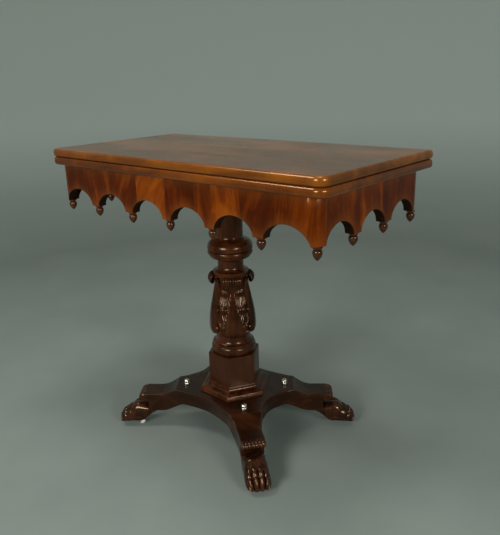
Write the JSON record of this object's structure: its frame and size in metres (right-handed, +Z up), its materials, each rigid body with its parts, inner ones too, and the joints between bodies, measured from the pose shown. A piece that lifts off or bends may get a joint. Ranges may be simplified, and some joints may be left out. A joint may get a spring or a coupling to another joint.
{
  "type": "tea table",
  "caption": "Fold-over tea table: its hinged top swivels on an arcaded frieze with turned pendants, carried by a carved pillar, a faceted plinth and lion-paw feet on hidden casters.",
  "frame": {"origin": "on the floor under the middle of the closed top", "axes": "+Z up, +X along the width to the right of somebody who faces the front, -Y out of the front"},
  "size_m": [0.846, 0.4276, 0.74],
  "materials": {
    "polished_mahogany": "polished mahogany with a clear gloss",
    "mahogany_veneer": "figured mahogany veneer, polished",
    "dark_mahogany": "dark red-brown mahogany, polished",
    "inner_pine": "plain unpolished pine",
    "brass": "polished brass",
    "steel": "plain steel",
    "white_china": "glazed white china"
  },
  "bodies": {
    "base": {"front_frieze": "mahogany_veneer", "back_frieze": "mahogany_veneer", "left_frieze": "mahogany_veneer", "right_frieze": "mahogany_veneer", "pendant_front_corner_left": "mahogany_veneer", "pendant_front_far_left": "mahogany_veneer", "pendant_front_mid_left": "mahogany_veneer", "pendant_front_centre": "mahogany_veneer", "pendant_front_mid_right": "mahogany_veneer", "pendant_front_far_right": "mahogany_veneer", "pendant_front_corner_right": "mahogany_veneer", "pendant_back_corner_left": "mahogany_veneer", "pendant_back_far_left": "mahogany_veneer", "pendant_back_mid_left": "mahogany_veneer", "pendant_back_centre": "mahogany_veneer", "pendant_back_mid_right": "mahogany_veneer", "pendant_back_far_right": "mahogany_veneer", "pendant_back_corner_right": "mahogany_veneer", "pendant_left_front": "mahogany_veneer", "pendant_left_back": "mahogany_veneer", "pendant_right_front": "mahogany_veneer", "pendant_right_back": "mahogany_veneer", "swivel_rail": "inner_pine", "well_board": "inner_pine", "pillar_bearer": "inner_pine", "pillar": "dark_mahogany", "plinth_block": "dark_mahogany", "plinth_moulding": "dark_mahogany", "platform": "dark_mahogany", "stud_front_right": "brass", "stud_back_right": "brass", "stud_back_left": "brass", "stud_front_left": "brass", "paw_front_right": "dark_mahogany", "paw_back_right": "dark_mahogany", "paw_back_left": "dark_mahogany", "paw_front_left": "dark_mahogany"},
    "lower_top": {"lower_leaf": "polished_mahogany", "pivot_plate": "steel", "pivot_bolt": "steel", "pivot_nut": "steel", "hinge_lower_plate_left": "brass", "hinge_lower_plate_right": "brass", "hinge_pin_left": "steel", "hinge_pin_right": "steel"},
    "upper_top": {"upper_leaf": "polished_mahogany", "hinge_upper_plate_left": "brass", "hinge_upper_plate_right": "brass"},
    "caster_front_right": {"caster_fork_front_right": "brass", "caster_axle_front_right": "steel"},
    "caster_back_right": {"caster_fork_back_right": "brass", "caster_axle_back_right": "steel"},
    "caster_back_left": {"caster_fork_back_left": "brass", "caster_axle_back_left": "steel"},
    "caster_front_left": {"caster_fork_front_left": "brass", "caster_axle_front_left": "steel"},
    "wheel_front_right": {"caster_wheel_front_right": "white_china"},
    "wheel_back_right": {"caster_wheel_back_right": "white_china"},
    "wheel_back_left": {"caster_wheel_back_left": "white_china"},
    "wheel_front_left": {"caster_wheel_front_left": "white_china"}
  },
  "joints": [
    {"name": "top_swivel", "type": "hinge", "parent": "base", "child": "lower_top", "pos_m": [0.10428, 0.10428, 0.7], "axis": [0, 0, 1], "range_deg": [0, 90]},
    {"name": "leaf_fold", "type": "hinge", "parent": "lower_top", "child": "upper_top", "pos_m": [0, 0.20855, 0.72025], "axis": [-1, 0, 0], "range_deg": [0, 180]},
    {"name": "caster_swivel_front_right", "type": "hinge", "parent": "base", "child": "caster_front_right", "pos_m": [0.21032, -0.1661, 0.03], "axis": [0, 0, 1], "continuous": true},
    {"name": "caster_swivel_back_right", "type": "hinge", "parent": "base", "child": "caster_back_right", "pos_m": [0.21032, 0.1661, 0.03], "axis": [0, 0, 1], "continuous": true},
    {"name": "caster_swivel_back_left", "type": "hinge", "parent": "base", "child": "caster_back_left", "pos_m": [-0.21032, 0.1661, 0.03], "axis": [0, 0, 1], "continuous": true},
    {"name": "caster_swivel_front_left", "type": "hinge", "parent": "base", "child": "caster_front_left", "pos_m": [-0.21032, -0.1661, 0.03], "axis": [0, 0, 1], "continuous": true},
    {"name": "caster_roll_front_right", "type": "hinge", "parent": "caster_front_right", "child": "wheel_front_right", "pos_m": [0.20261, -0.15691, 0.01037], "axis": [0.766, 0.6428, 0], "continuous": true},
    {"name": "caster_roll_back_right", "type": "hinge", "parent": "caster_back_right", "child": "wheel_back_right", "pos_m": [0.2124, 0.17792, 0.01037], "axis": [0.9848, -0.1736, 0], "continuous": true},
    {"name": "caster_roll_back_left", "type": "hinge", "parent": "caster_back_left", "child": "wheel_back_left", "pos_m": [-0.2216, 0.162, 0.01037], "axis": [-0.342, 0.9397, 0], "continuous": true},
    {"name": "caster_roll_front_left", "type": "hinge", "parent": "caster_front_left", "child": "wheel_front_left", "pos_m": [-0.19858, -0.1686, 0.01037], "axis": [-0.2079, -0.9781, 0], "continuous": true}
  ]
}
